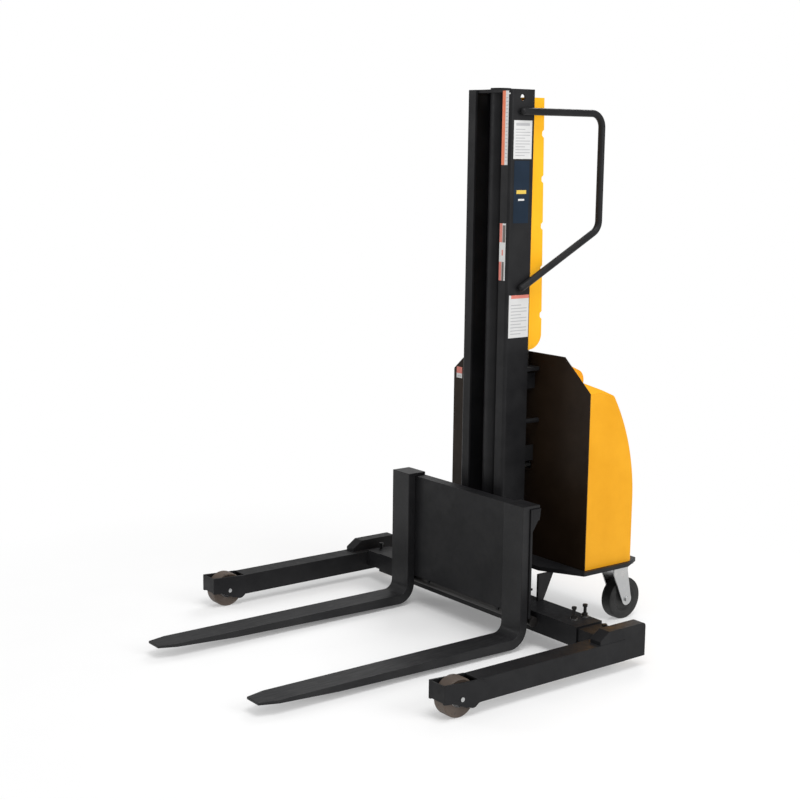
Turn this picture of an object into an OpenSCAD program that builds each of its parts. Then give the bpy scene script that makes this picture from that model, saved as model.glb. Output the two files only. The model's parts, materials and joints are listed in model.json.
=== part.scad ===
/* [Mast] */
// Height of the mast uprights above the floor
mast_top = 2007; // [1900:1:2100]
// Width over both uprights
mast_w = 245; // [240:1:250]
// Depth of an upright, front flange to rear flange
mast_d = 114; // [112:1:116]
// Travel of the fork carriage
lift = 1500; // [1200:10:1500]

/* [Forks] */
// Length of a fork from the front of its shank to the tip
fork_len = 1100; // [900:10:1200]
// Width of one fork
fork_w = 104; // [90:1:110]
// Thickness of the shank
fork_t = 34; // [30:1:36]
// Distance from the centre line to the middle of each fork
fork_x = 332; // [250:1:338]
// Height of the blade's top face above the floor
fork_top = 50; // [48:1:60]

/* [Carriage] */
// Half width of the carriage plate
plate_x = 390; // [385:1:395]
// Height of the carriage plate's top edge
plate_top = 523; // [500:1:560]

/* [Legs] */
// Height of the square leg tube
leg_h = 78; // [74:1:80]
// Width of the square leg tube
leg_w = 76; // [72:1:80]
// Distance from the centre line to the inner face of each leg
leg_x = 676; // [660:1:700]
// Radius of a load wheel
load_r = 66; // [63:1:66]

/* [Base] */
// Half length of the crossbeam sleeve
beam_x = 584; // [570:1:600]
// Depth of the crossbeam sleeve
beam_d = 127; // [120:1:130]
// Height of the crossbeam sleeve
beam_h = 76; // [74:1:80]

/* [Power unit] */
// Half width of the back plate
panel_x = 389; // [380:1:395]
// Height of the back plate's top edge
panel_top = 1037; // [1020:1:1050]
// Distance from the centre line to each caster
caster_x = 312; // [300:1:320]
// Radius of a caster wheel
caster_r = 82; // [70:1:84]

/* [Hidden] */
$fn = 64;

// Depths are measured from the mast's front face, which lies at y = mast_y.
plate_y = -95;
shank_y = plate_y - fork_t;
caster_y = 415;
caster_trail = 44;
front_reach = fork_len - shank_y;
rear_reach = caster_y + caster_trail + caster_r;
mast_y = (front_reach - rear_reach) / 2;

// Mast section
web_t = 8;
flange_t = 10;
flange_w = 48;
spine_r = 38;
spine_y = 57;
eye_r = 12;
tie_t = 12;

// Crossbeam, legs and their clearances
beam_z = 54;
beam_top = beam_z + beam_h;
beam_y = -43;
beam_wall = 6;
slip = 0.5;
tube_d = beam_d - 2 * beam_wall - 2 * slip;
tube_h = beam_h - 2 * beam_wall - 2 * slip;
tube_x = 120;
leg_z = 39;
leg_top = leg_z + leg_h;
leg_front = -638;
leg_rear = 33;
block_w = 51;
block_front = -90;
block_rear = 132;
block_top = 160;
load_y = -708;
bracket_front = -782;
axle_r = 8;

// Base and power unit
deck_t = 16;
deck_top = 250;
deck_z = deck_top - deck_t;
foot_t = 8;
gusset_x = 278;
panel_y = 181;
panel_t = 4;
panel_shoulder_x = 250;
panel_shoulder_z = 917;
cover_y = panel_y + panel_t;
cover_rear = 432;
cover_r = 765;
cover_arc_z = 490;
cover_gap = 3;
cover_t = 4;
shelf_z = 500;
pod_tilt = -24;
pod_y = 278;
pod_z = 983.3;
lever_pivot = 11;

// Lift ram, crosshead and chains
ram_y = 140;
barrel_r = 30;
barrel_top = 1010;
barrel_z = beam_top + foot_t;
rod_r = 18;
sheave_x = 54;
sheave_z = 1062;
sheave_r = 30;
chain_w = 16;
chain_t = 8;
anchor_z = 985;
bracket_t = 14;
chain_foot = 285;

// Carriage
bar_y = -85;
bar_d = 38;
side_x = 48;
side_t = 12;
roller_r = 46.5;
roller_w = 26;
roller_x = 84;
roller_low = 190;
roller_high = 420;
stub_r = 14;
lower_bar_r = 17.5;
lower_bar_z = 101;
lower_bar_y = -65;

// Guard and handle
guard_x = 92;
guard_top = 1980;
guard_z = 1048;
guard_t = 3;
guard_top_y = 190;
guard_low_y = 207;
guard_grooves = [1177, 1350, 1511, 1684, 1850];
groove_d = 9;
grip_r = 13.4;
grip_x = mast_w / 2 + grip_r;
grip_bend = 52;
grip_rear = 447;
grip_top = 1928;
grip_knee = 1497;
grip_head_y = 50;
grip_foot_y = 60;
grip_foot_z = 1289;

// Colours
black = "#1c1c1d";
yellow = "#f2a516";
steel = "#a9abad";
worn = "#4a4a4b";
dark = "#2b2b2c";

// Placement and shape helpers
module on_mast(y = 0) translate([0, mast_y + y, 0]) children();

module mirrored() {
    children();
    mirror([1, 0, 0]) children();
}

module box(x0, x1, y0, y1, z0, z1) translate([x0, y0, z0]) cube([x1 - x0, y1 - y0, z1 - z0]);

module bar_x(r, x0, x1, y, z) translate([x0, y, z]) rotate([0, 90, 0]) cylinder(r = r, h = x1 - x0);

module side_profile(x0, x1) translate([x0, 0, 0]) rotate([90, 0, 90]) linear_extrude(x1 - x0) children();

module front_profile(y0, y1) translate([0, y1, 0]) rotate([90, 0, 0]) linear_extrude(y1 - y0) children();

module bolt(r, h, head_r, head_h) {
    cylinder(r = r, h = h + head_h);
    translate([0, 0, h]) cylinder(r = head_r, h = head_h, $fn = 6);
}

function arc(cx, cy, r, a0, a1, n = 12) =
    [for (i = [0:n]) [cx + r * cos(a0 + (a1 - a0) * i / n), cy + r * sin(a0 + (a1 - a0) * i / n)]];

// Mast and chassis
module upright() {
    x1 = mast_w / 2;
    on_mast() difference() {
        union() {
            box(x1 - flange_w, x1, 12, mast_d, beam_top + foot_t, mast_top);
            box(x1 - flange_w, x1 - 12, 0, 13, beam_top + foot_t, mast_top);
            translate([x1 - 12, 12, beam_top + foot_t]) cylinder(r = 12, h = mast_top - beam_top - foot_t);
        }
        box(x1 - flange_w - 1, x1 - web_t, flange_t, mast_d - flange_t, beam_top, mast_top + 1);
    }
}
module mast_upright_right() color(black) difference() {
    upright();
    on_mast() bar_x(eye_r, mast_w / 2 - web_t - 1, mast_w / 2 + 1, spine_y, mast_top - 30);
}
module mast_upright_left() color(black) mirror([1, 0, 0]) upright();

module mast_spine() color(black) on_mast() translate([0, spine_y, beam_top + foot_t]) difference() {
    cylinder(r = spine_r, h = mast_top + 6 - beam_top - foot_t);
    translate([0, 0, -1]) cylinder(r = spine_r - 5, h = mast_top - 20 - beam_top);
}

module mast_top_tie() color(black) on_mast() difference() {
    box(web_t - mast_w / 2, mast_w / 2 - web_t, flange_t, mast_d - flange_t, mast_top - tie_t, mast_top);
    translate([0, spine_y, mast_top - tie_t - 1]) cylinder(r = spine_r, h = tie_t + 2);
}

module crossbeam() color(black) on_mast(beam_y) translate([0, 0, beam_z]) difference() {
    translate([-beam_x, 0, 0]) cube([2 * beam_x, beam_d, beam_h]);
    translate([-beam_x - 1, beam_wall, beam_wall])
        cube([2 * beam_x + 2, beam_d - 2 * beam_wall, beam_h - 2 * beam_wall]);
    mirrored() for (y = [57, 112])
        translate([512, y, beam_h - beam_wall - 1]) cylinder(r = 6.1, h = beam_wall + 2);
}

module base_plates() color(black) on_mast() {
    box(-170, 170, beam_y + 8, 128, beam_top, beam_top + foot_t);
    box(-45, 45, 128, ram_y + 40, beam_top, beam_top + foot_t);
    mirrored() side_profile(gusset_x - 5, gusset_x + 5)
        polygon([[50, beam_top], [78, beam_top], [128, deck_z], [50, deck_z]]);
}

module deck_outline() polygon([[-245, 84], [245, 84], [403, 168], [403, 400], [364, 480],
    [-364, 480], [-403, 400], [-403, 168]]);

module platform() color(black) on_mast() difference() {
    translate([0, 0, deck_z]) linear_extrude(deck_t) deck_outline();
    box(-mast_w / 2 - slip, mast_w / 2 + slip, 0, mast_d + slip, deck_z - 1, deck_top + 1);
    translate([0, ram_y, deck_z - 1]) cylinder(r = barrel_r + slip, h = deck_t + 2);
    box(-235, 235, 205, 455, deck_z - 1, deck_top - 6);
    mirrored() for (x = [-40, 40], y = [-30, 30])
        translate([caster_x + x, caster_y + y, deck_z - 1]) cylinder(r = 5.5, h = deck_t + 2);
}

module panel_outline(inset = 0) {
    px = panel_x - inset;
    sx = panel_shoulder_x - inset / 2;
    polygon([[-px, deck_top], [px, deck_top], [px, panel_shoulder_z], [sx, panel_top - inset],
        [-sx, panel_top - inset], [-px, panel_shoulder_z]]);
}

module back_plate() color(black) on_mast() difference() {
    front_profile(panel_y, cover_y) panel_outline();
    translate([70, panel_y - 1, 600]) rotate([-90, 0, 0]) cylinder(r = 14, h = panel_t + 2);
}

module panel_brackets() color(black) on_mast() mirrored() {
    x1 = mast_w / 2;
    for (z = [300, 620, 900]) box(x1 - 38, x1 - 30, mast_d, panel_y, z, z + 60);
    translate([x1 - 10, mast_d, 780]) rotate([-90, 0, 0]) cylinder(r = 9, h = panel_y - mast_d);
}

module rear_curve() polygon(concat([[cover_y, deck_top], [cover_rear, deck_top]],
    arc(cover_rear - cover_r, cover_arc_z, cover_r, 0, 30.6, 24),
    arc(304.5, 887, 14, 31.9, 67.1, 4), [[cover_y, 952.6]]));

module cover_solid(inset) intersection() {
    side_profile(inset - panel_x, panel_x - inset) rear_curve();
    front_profile(cover_y - 1, cover_rear + 10) panel_outline(inset);
}

module power_cover() color(yellow) on_mast() difference() {
    cover_solid(cover_gap);
    translate([0, -cover_t, -cover_t]) cover_solid(cover_gap + cover_t);
    box(-panel_x, panel_x, cover_y - 9, cover_y, 0, 1100);
}

module console() color(yellow) on_mast() difference() {
    side_profile(-205, 205) polygon(concat([[200, 940], [200, 990]], arc(218, 990.3, 18, 160, 66, 5),
        arc(285, 934.2, 42, 66, 0, 8), [[327, 870]]));
    side_profile(-panel_x, panel_x) rear_curve();
}

// Controls stand on the console's sloping face
module on_pod(x) on_mast() translate([x, pod_y, pod_z]) rotate([pod_tilt, 0, 0]) children();

module battery_gauge() color(dark) on_pod(-110) difference() {
    cylinder(r = 23, h = 8);
    translate([0, 0, 6]) cylinder(r = 19, h = 5);
}
module key_barrel() color(steel) on_pod(-45) difference() {
    cylinder(r = 13, h = 10);
    translate([0, 0, 4]) cylinder(r = 6.1, h = 12);
}
module key() color(steel) on_pod(-45) {
    translate([0, 0, 4.2]) cylinder(r = 6, h = 8.8);
    translate([-2, -10, 12]) cube([4, 20, 18]);
}
module stop_collar() color("#e8c417") on_pod(110) difference() {
    union() {
        cylinder(r = 23, h = 4);
        cylinder(r = 16, h = 10);
    }
    translate([0, 0, -1]) cylinder(r = 11.1, h = 12);
}
module stop_button() color("#b3171b") on_pod(110) {
    translate([0, 0, 6.1]) cylinder(r = 11, h = 11.9);
    translate([0, 0, 17]) rotate_extrude() polygon(concat([[0, 0], [20, 0]], arc(16, 4, 4, 0, 70, 5),
        [[0, 11]]));
}
module lever_boot() color("#111112") on_pod(35) rotate_extrude()
    polygon([[0, 0], [22, 0], [22, 3], [18, 5], [19, 8], [13, 10], [14, 12], [8.2, 13], [8.2, 6], [0, 6]]);
module control_lever() color("#161617") on_pod(35) {
    translate([0, 0, lever_pivot]) sphere(r = 4.6);
    translate([0, 0, lever_pivot]) cylinder(r = 4, h = 9);
    translate([0, 0, 24]) sphere(r = 9);
}

// Hydraulic and electric units under the cover
module batteries() color("#232326") on_mast() mirrored() {
    box(30, 340, 200, 370, deck_top, 462);
    for (x = [75, 295]) translate([x, 245, 462]) cylinder(r = 9, h = 16);
}
module power_shelf() color(dark) on_mast() {
    box(-360, 360, cover_y, 395, shelf_z - 6, shelf_z);
    mirrored() box(350, 360, cover_y, 370, deck_top, shelf_z - 6);
}
module pump_motor() color(dark) on_mast() {
    bar_x(57, -300, -118, 270, shelf_z + 62);
    box(-290, -130, 235, 305, shelf_z, shelf_z + 12);
}
module valve_block() color(steel) on_mast() {
    box(-118, 100, 232, 308, shelf_z + 24, shelf_z + 112);
    translate([70, 270, shelf_z + 112]) cylinder(r = 16, h = 46);
}
module hydraulic_tank() color(dark) on_mast() {
    difference() {
        box(100, 330, 205, 345, shelf_z, shelf_z + 190);
        box(103, 327, 208, 342, shelf_z + 3, shelf_z + 187);
    }
    translate([270, 275, shelf_z + 190]) cylinder(r = 19, h = 16);
}
module charger() color("#303236") on_mast() difference() {
    box(-310, -60, cover_y, 252, shelf_z + 150, shelf_z + 330);
    box(-307, -63, cover_y + 3, 245, shelf_z + 153, shelf_z + 327);
    for (x = [-300:14:-76]) box(x, x + 5, 246, 253, shelf_z + 170, shelf_z + 310);
}
module hydraulic_hose() color("#111112") on_mast() {
    r = 8;
    x = 70;
    translate([x, ram_y, 600]) rotate([-90, 0, 0]) cylinder(r = r, h = 232 - ram_y);
    translate([x, ram_y, 600]) sphere(r = r);
    translate([x, ram_y, 290]) cylinder(r = r, h = 310);
    translate([x, ram_y, 290]) sphere(r = r);
    bar_x(r, barrel_r + 1, x, ram_y, 290);
}

// Lift ram and chains
module cylinder_barrel() color(black) on_mast(ram_y) {
    translate([0, 0, barrel_z]) difference() {
        cylinder(r = barrel_r, h = barrel_top - barrel_z);
        translate([0, 0, 12]) cylinder(r = barrel_r - 6, h = barrel_top - barrel_z);
    }
    translate([0, 0, barrel_top]) difference() {
        cylinder(r = barrel_r + 4, h = 18);
        translate([0, 0, -1]) cylinder(r = rod_r + 0.05, h = 20);
    }
    translate([barrel_r - 1, 0, 290]) rotate([0, 90, 0]) cylinder(r = 11, h = 2);
}
module piston_rod() color("#d9dadb") on_mast(ram_y) translate([0, 0, barrel_z + 20]) {
    cylinder(r = barrel_r - 6.3, h = 40);
    cylinder(r = rod_r, h = sheave_z - 22 - barrel_z - 20);
}
module crosshead() color(worn) on_mast() {
    box(-40, 40, ram_y - 22, ram_y + 22, sheave_z - 22, sheave_z + 22);
    bar_x(9, -70, 70, ram_y, sheave_z);
    mirrored() bar_x(14, 66, 72, ram_y, sheave_z);
}
module chain_sheaves() color(steel) on_mast() mirrored()
    translate([sheave_x - 10, ram_y, sheave_z]) rotate([0, 90, 0]) rotate_extrude()
        polygon([[9.05, 0], [30, 0], [30, 1.5], [25.5, 1.6], [25.5, 18.4], [30, 18.5], [30, 20], [9.05, 20]]);
module chain_wraps() color("#3a3a3b") on_mast() mirrored()
    translate([sheave_x - chain_w / 2, ram_y, sheave_z]) rotate([0, 90, 0])
        rotate([0, 0, 90]) rotate_extrude(angle = 180)
            translate([25.9, 0]) square([chain_t, chain_w]);
module chain_pair(y, z0, z1) mirrored()
    box(sheave_x - chain_w / 2, sheave_x + chain_w / 2, y - chain_t / 2, y + chain_t / 2, z0, z1);
module chains_rear() color("#3a3a3b") on_mast() chain_pair(ram_y + 29.9, anchor_z, sheave_z);
module chains_front() color("#3a3a3b") on_mast() chain_pair(ram_y - 29.9, chain_foot, sheave_z);
module ram_bracket() color(black) on_mast() difference() {
    box(-118, 118, mast_d, 178, anchor_z - bracket_t, anchor_z);
    translate([0, ram_y, anchor_z - bracket_t - 1]) cylinder(r = barrel_r + 0.1, h = bracket_t + 2);
    mirrored() box(sheave_x - 10, sheave_x + 10, mast_d - 1, mast_d + 5, anchor_z - 20, anchor_z + 1);
}

// Chain guard behind the mast's upper half
function guard_back(z) = guard_low_y + (guard_top_y - guard_low_y) * (z - guard_z - 60) / (guard_top - guard_z - 60);
module guard_profile(inset) {
    polygon(concat([[mast_d, guard_z + inset], [150, guard_z + inset]],
        arc(148, guard_z + 60 + inset, 59 - inset, -88, -8, 8),
        [for (z = guard_grooves, p = [[0, -15], [groove_d, -7], [groove_d, 7], [0, 15]])
            [guard_back(z + p[1]) - inset - p[0], z + p[1]]],
        [[guard_top_y - inset, guard_top - inset], [mast_d, guard_top - inset]]));
}
module mast_guard() color(yellow) on_mast() difference() {
    union() {
        side_profile(-guard_x, guard_x) guard_profile(0);
        box(-118, 118, mast_d, mast_d + guard_t, guard_z + 20, guard_top);
    }
    side_profile(guard_t - guard_x, guard_x - guard_t) translate([-guard_t, 0]) guard_profile(guard_t);
    box(guard_t - guard_x, guard_x - guard_t, mast_d - 1, mast_d + guard_t + 1, guard_z + guard_t,
        guard_top - guard_t);
    box(-76, 76, mast_d - 1, 180, guard_z - 1, guard_z + 40);
}

// Push handle bent from one tube
module push_handle() color(black) on_mast() translate([grip_x, 0, 0]) {
    a = atan((grip_knee - grip_foot_z) / (grip_rear - grip_foot_y));
    cut = grip_bend * tan((90 - a) / 2);
    run = norm([grip_rear - grip_foot_y, grip_knee - grip_foot_z]) - cut;
    lap = 1;
    translate([0, grip_head_y, grip_top]) rotate([-90, 0, 0])
        cylinder(r = grip_r, h = grip_rear - grip_bend - grip_head_y + lap);
    translate([0, grip_rear - grip_bend, grip_top - grip_bend]) rotate([90, 0, 90])
        rotate_extrude(angle = 90) translate([grip_bend, 0]) circle(r = grip_r - 0.1);
    translate([0, grip_rear, grip_knee + cut - lap])
        cylinder(r = grip_r, h = grip_top - grip_bend - grip_knee - cut + 2 * lap);
    translate([0, grip_rear - grip_bend, grip_knee + cut]) rotate([90, 0, 90])
        rotate([0, 0, a - 90]) rotate_extrude(angle = 90 - a) translate([grip_bend, 0]) circle(r = grip_r - 0.1);
    translate([0, grip_foot_y, grip_foot_z]) rotate([a - 90, 0, 0]) cylinder(r = grip_r, h = run + lap);
}

module decals() color("#e9e7e2") on_mast() {
    s = mast_w / 2;
    box(s, s + 0.6, 16, 104, 1758, 1896);
    box(s, s + 0.6, 22, 96, 1526, 1752);
    box(s, s + 0.6, 12, 110, 1104, 1262);
    box(s - 46, s - 13, -0.6, 0, 1736, 2000);
    box(s - 46, s - 13, -0.6, 0, 1316, 1525);
    box(-372, -338, panel_y - 0.6, panel_y, 880, 925);
}

// Telescoping legs
module leg_beam() on_mast() difference() {
    union() {
        box(leg_x, leg_x + leg_w, leg_front, leg_rear, leg_z, leg_top);
        side_profile(leg_x + leg_w - block_w, leg_x + leg_w - 1.5)
            polygon(concat([[block_front, leg_top], [leg_rear, leg_top], [leg_rear, leg_z],
                [block_rear, leg_z], [block_rear, block_top - 14]],
                arc(block_rear - 14, block_top - 14, 14, 10, 90, 6),
                [[block_front + 42, block_top], [block_front, leg_top + 14]]));
    }
    box(leg_x + 6, leg_x + leg_w - 6, leg_front - 1, leg_rear - 6, leg_z + 6, leg_top - 6);
}
module leg_tube() on_mast() {
    y0 = beam_y + beam_wall + slip;
    z0 = beam_z + beam_wall + slip;
    difference() {
        box(tube_x, leg_x, y0, y0 + tube_d, z0, z0 + tube_h);
        box(tube_x - 1, leg_x - 8, y0 + 6, y0 + tube_d - 6, z0 + 6, z0 + tube_h - 6);
    }
    translate([leg_x - 18, 22, z0 + tube_h]) bolt(6, 18, 10, 8);
}
module wheel_bracket() on_mast() {
    x1 = leg_x + leg_w;
    lobe = concat([[bracket_front, 62], [-742, 58], [-690, 34]], arc(-661, 50, 23, 225, 300, 6),
        [[leg_front, leg_z], [leg_front, leg_top], [bracket_front, 125]]);
    for (x = [leg_x - 3, x1 - 6]) difference() {
        side_profile(x, x + 9) polygon(lobe);
        bar_x(axle_r + 0.05, x - 1, x + 10, load_y, load_r);
    }
    side_profile(x1, x1 + 3) polygon(arc(leg_front, leg_z + 39, 39, -90, 90, 12));
    box(leg_x + 6, x1 - 6, bracket_front, bracket_front + 7, 66, 123);
}
module load_axle() on_mast() bar_x(axle_r, leg_x - 5, leg_x + leg_w + 5, load_y, load_r);
module load_wheel() on_mast() translate([leg_x + 12, load_y, load_r]) rotate([0, 90, 0]) rotate_extrude()
    polygon([[axle_r + 0.05, 0], [30, 0], [30, 3], [load_r - 12, 3], [load_r - 3, 0], [load_r, 3],
        [load_r, 49], [load_r - 3, 52], [load_r - 12, 49], [30, 49], [30, 52], [axle_r + 0.05, 52]]);

module leg_beam_right() color(black) leg_beam();
module leg_beam_left() color(black) mirror([1, 0, 0]) leg_beam();
module leg_tube_right() color(black) leg_tube();
module leg_tube_left() color(black) mirror([1, 0, 0]) leg_tube();
module wheel_bracket_right() color(black) wheel_bracket();
module wheel_bracket_left() color(black) mirror([1, 0, 0]) wheel_bracket();
module load_axle_right() color(steel) load_axle();
module load_axle_left() color(steel) mirror([1, 0, 0]) load_axle();
module load_wheel_right() color("#5d5248") load_wheel();
module load_wheel_left() color("#5d5248") mirror([1, 0, 0]) load_wheel();

module clamp_bolts() color(steel) on_mast(beam_y) mirrored() for (y = [57, 112])
    translate([512, y, beam_top - beam_wall]) {
        cylinder(r = 6, h = beam_wall + 46);
        translate([0, 0, beam_wall]) cylinder(r = 14, h = 3);
        translate([0, 0, beam_wall + 3]) cylinder(r = 11, h = 10, $fn = 6);
        translate([0, 0, beam_wall + 37]) cylinder(r = 9.5, h = 9, $fn = 6);
    }

// Carriage and forks
module carriage_plate() color(black) on_mast()
    box(-plate_x, plate_x, plate_y, bar_y, 119, plate_top);
module carriage_frame() color(black) on_mast() {
    box(6 - plate_x, plate_x - 6, bar_y, bar_y + bar_d, plate_top - 45, plate_top);
    mirrored() {
        side_profile(plate_x - 6, plate_x) polygon([[bar_y, 440], [bar_y, plate_top],
            [bar_y + bar_d, plate_top], [bar_y + bar_d - 4, plate_top - 30]]);
        side_profile(side_x, side_x + side_t) polygon([[bar_y, 145], [60, 145], [96, 160], [96, 440],
            [40, 470], [bar_y, plate_top - 45]]);
        box(side_x - 2, side_x + 14, 96, 115, chain_foot - 33, chain_foot);
        for (z = [roller_low, roller_high]) bar_x(stub_r, side_x + side_t, roller_x + roller_w + 2, spine_y, z);
        difference() {
            box(200, 212, bar_y, bar_y + 26, lower_bar_z, plate_top - 45);
            bar_x(lower_bar_r, 199, 213, lower_bar_y, lower_bar_z);
        }
    }
}
module lower_bar() color(dark) on_mast() {
    bar_x(lower_bar_r, 4 - plate_x, plate_x - 4, lower_bar_y, lower_bar_z);
    mirrored() bar_x(lower_bar_r + 1.5, plate_x - 10, plate_x - 4, lower_bar_y, lower_bar_z - 1);
}
module roller_pair(z) on_mast() mirrored() translate([roller_x, spine_y, z]) rotate([0, 90, 0]) rotate_extrude()
    polygon([[stub_r + 0.05, 0], [roller_r - 2, 0], [roller_r, 2], [roller_r, roller_w - 2],
        [roller_r - 2, roller_w], [stub_r + 0.05, roller_w]]);
module rollers_upper() color(steel) roller_pair(roller_high);
module rollers_lower() color(steel) roller_pair(roller_low);

module fork() on_mast() {
    heel = 75;
    inner = heel - fork_t - 4;
    tip_y = shank_y - fork_len;
    heel_y = plate_y - slip - heel;
    gap = 0.5;
    intersection() {
        side_profile(fork_x - fork_w / 2, fork_x + fork_w / 2) polygon(concat(
            [[plate_y - gap, plate_top + gap], [bar_y + bar_d, plate_top + gap],
            [bar_y + bar_d, plate_top + 12], [shank_y, plate_top + 12]],
            arc(shank_y - inner, fork_top + inner, inner, 0, -90, 10),
            [[tip_y, fork_top], [tip_y, fork_top - 9], [tip_y + 306, 25]],
            arc(heel_y, heel + 12, heel, -90, 0, 12)));
        linear_extrude(mast_top) polygon([[fork_x - 35, tip_y], [fork_x + 35, tip_y],
            [fork_x + fork_w / 2, tip_y + 70], [fork_x + fork_w / 2, 0],
            [fork_x - fork_w / 2, 0], [fork_x - fork_w / 2, tip_y + 70]]);
    }
}
module fork_right() color(worn) fork();
module fork_left() color(worn) mirror([1, 0, 0]) fork();

// Rear casters
module caster_plates() color(steel) on_mast(caster_y) mirrored() translate([caster_x, 0, 0]) difference() {
    union() {
        translate([-57, -50, deck_z - 6]) cube([114, 100, 6]);
        translate([0, 0, deck_z - 20]) cylinder(r = 38, h = 14);
    }
    for (x = [-40, 40], y = [-30, 30]) translate([x, y, deck_z - 7]) cylinder(r = 5.5, h = 8);
    translate([0, 0, deck_z - 21]) cylinder(r = 10.05, h = 16);
}
module caster_fork() on_mast(caster_y) translate([caster_x, 0, 0]) {
    crown = deck_z - 21;
    translate([0, 0, crown]) cylinder(r = 10, h = 14);
    translate([0, 0, crown - 6]) cylinder(r = 40, h = 6);
    for (x = [-35, 30]) side_profile(x, x + 5) polygon(concat([[-30, crown - 2], [-30, crown - 22]],
        arc(caster_trail, caster_r, 24, 210, 390, 12), [[44, crown - 16], [44, crown - 2]]));
    bar_x(8, -42, 42, caster_trail, caster_r);
    for (x = [-42, 35]) translate([x, caster_trail, caster_r]) rotate([0, 90, 0])
        cylinder(r = 12, h = 7, $fn = 6);
}
module caster_wheel() on_mast(caster_y) translate([caster_x - 25, caster_trail, caster_r]) rotate([0, 90, 0])
    rotate_extrude() polygon([[8.05, -3], [16, -3], [16, 6], [48, 12], [55, 2], [caster_r - 6, 0],
        [caster_r, 8], [caster_r, 42], [caster_r - 6, 50], [55, 48], [48, 38], [16, 44], [16, 53], [8.05, 53]]);
module caster_fork_right() color("#d4d6d8") caster_fork();
module caster_fork_left() color("#d4d6d8") mirror([1, 0, 0]) caster_fork();
module caster_wheel_right() color("#1a1a1b") caster_wheel();
module caster_wheel_left() color("#1a1a1b") mirror([1, 0, 0]) caster_wheel();

module fasteners() color(steel) on_mast() mirrored() {
    for (z = [1150, 1450, 1750, 1930]) translate([108, mast_d + guard_t, z]) rotate([-90, 0, 0])
        cylinder(r = 6, h = 4);
    for (x = [-40, 40], y = [-30, 30]) translate([caster_x + x, caster_y + y, deck_top])
        cylinder(r = 8, h = 5, $fn = 6);
}

crossbeam();
base_plates();
mast_upright_left();
mast_upright_right();
mast_spine();
mast_top_tie();
platform();
back_plate();
panel_brackets();
power_cover();
console();
battery_gauge();
key_barrel();
key();
stop_collar();
stop_button();
lever_boot();
control_lever();
batteries();
pump_motor();
hydraulic_tank();
valve_block();
charger();
power_shelf();
hydraulic_hose();
cylinder_barrel();
piston_rod();
crosshead();
chain_sheaves();
chain_wraps();
chains_rear();
chains_front();
ram_bracket();
mast_guard();
push_handle();
decals();
leg_beam_left();
leg_beam_right();
leg_tube_left();
leg_tube_right();
wheel_bracket_left();
wheel_bracket_right();
load_axle_left();
load_axle_right();
load_wheel_left();
load_wheel_right();
clamp_bolts();
carriage_plate();
carriage_frame();
lower_bar();
rollers_upper();
rollers_lower();
fork_left();
fork_right();
caster_plates();
caster_fork_left();
caster_fork_right();
caster_wheel_left();
caster_wheel_right();
fasteners();
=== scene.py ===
"""Looks of a walkie stacker: skins, finishes, labels, floor, light and camera around its CAD frame."""

import logging
import math
from dataclasses import dataclass, field
from enum import Enum
from typing import Callable, Iterable, Optional

import bmesh
import bpy
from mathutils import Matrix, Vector
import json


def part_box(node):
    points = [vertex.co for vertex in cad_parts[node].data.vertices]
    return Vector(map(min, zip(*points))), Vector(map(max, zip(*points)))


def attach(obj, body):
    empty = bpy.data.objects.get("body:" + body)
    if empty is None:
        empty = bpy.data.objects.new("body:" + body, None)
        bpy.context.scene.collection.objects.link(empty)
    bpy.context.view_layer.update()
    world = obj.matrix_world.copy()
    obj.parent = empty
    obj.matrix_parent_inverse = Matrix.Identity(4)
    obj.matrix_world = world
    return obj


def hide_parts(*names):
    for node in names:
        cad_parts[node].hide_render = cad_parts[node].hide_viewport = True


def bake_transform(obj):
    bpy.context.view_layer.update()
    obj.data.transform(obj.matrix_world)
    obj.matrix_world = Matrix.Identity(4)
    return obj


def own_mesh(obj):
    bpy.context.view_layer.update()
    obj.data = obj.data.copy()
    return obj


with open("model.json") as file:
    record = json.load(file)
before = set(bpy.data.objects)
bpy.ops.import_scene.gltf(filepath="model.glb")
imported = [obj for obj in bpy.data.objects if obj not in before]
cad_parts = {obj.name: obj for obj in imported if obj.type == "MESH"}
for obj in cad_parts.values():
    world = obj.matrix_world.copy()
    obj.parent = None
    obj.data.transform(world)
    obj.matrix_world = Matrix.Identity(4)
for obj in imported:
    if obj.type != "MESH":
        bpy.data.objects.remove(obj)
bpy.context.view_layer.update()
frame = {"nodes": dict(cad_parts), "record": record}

LOG = logging.getLogger("stacker")
MM = 0.001
MAST_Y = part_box("mast_upright_right")[0][1]
SEED = 7
MERGE = 2e-6  # distance in metres within which a skin's vertices are one
FLAT = 0.6  # degrees within which neighbouring faces count as one plane
SHARP = 38.0  # degrees from which an edge is shaded as a corner
LINK_PITCH = 12.7  # length of one chain link in millimetres

Colour = tuple[float, float, float]
Point = tuple[float, float, float]
Socket = bpy.types.NodeSocket


def at(x: float, y: float, z: float) -> Vector:
    """A point in metres, with depth measured from the mast's front face.

    Args:
        x: Distance from the centre line in millimetres.
        y: Depth behind the mast's front face in millimetres.
        z: Height above the floor in millimetres.

    Returns:
        The point in the shared frame.
    """
    return Vector((x * MM, MAST_Y + y * MM, z * MM))


class Slot(Enum):
    """Material slots of the record."""

    FRAME = "frame_black"
    COVER = "cover_yellow"
    FORK = "fork_steel"
    ZINC = "zinc"
    STEEL = "steel"
    CHROME = "chrome_rod"
    CHAIN = "chain"
    LOAD_TREAD = "load_tread"
    CASTER_TREAD = "caster_tread"
    BLACK_PLASTIC = "black_plastic"
    BATTERY = "battery_case"
    UNIT = "unit_paint"
    RED = "red_plastic"
    YELLOW = "yellow_plastic"
    HOSE = "hose_rubber"
    LABEL = "label_film"


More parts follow.
